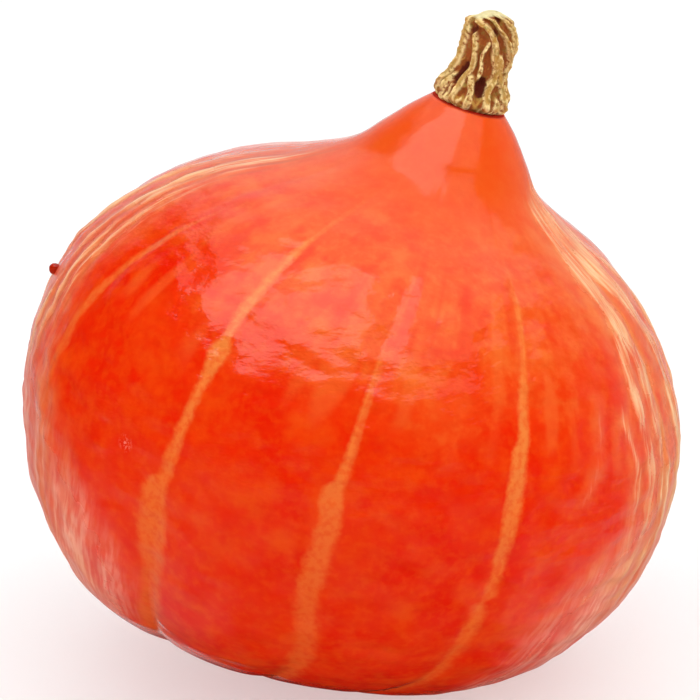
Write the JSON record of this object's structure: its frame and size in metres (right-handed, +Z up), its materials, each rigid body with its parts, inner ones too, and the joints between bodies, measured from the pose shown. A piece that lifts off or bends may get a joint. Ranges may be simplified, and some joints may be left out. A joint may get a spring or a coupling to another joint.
{
  "type": "red kuri squash",
  "caption": "Onion-shaped orange-red winter squash with pale rib stripes, leaning on its underside, and a dried corky stem on its tapering neck.",
  "frame": {"origin": "on the flat resting face under the fruit, straight below the middle of its widest ring", "axes": "+Z up from the resting face; front towards -Y; the fruit's own axis leans 17.1 degrees from +Z towards +X"},
  "size_m": [0.1694, 0.1716, 0.1754],
  "materials": {
    "rind": "waxy orange-red rind with pale orange stripes, satin gloss",
    "cork": "dry corky stem, straw ridges over dark brown grooves, matt"
  },
  "bodies": {
    "root": {"fruit": "rind", "stem": "cork"}
  },
  "joints": []
}
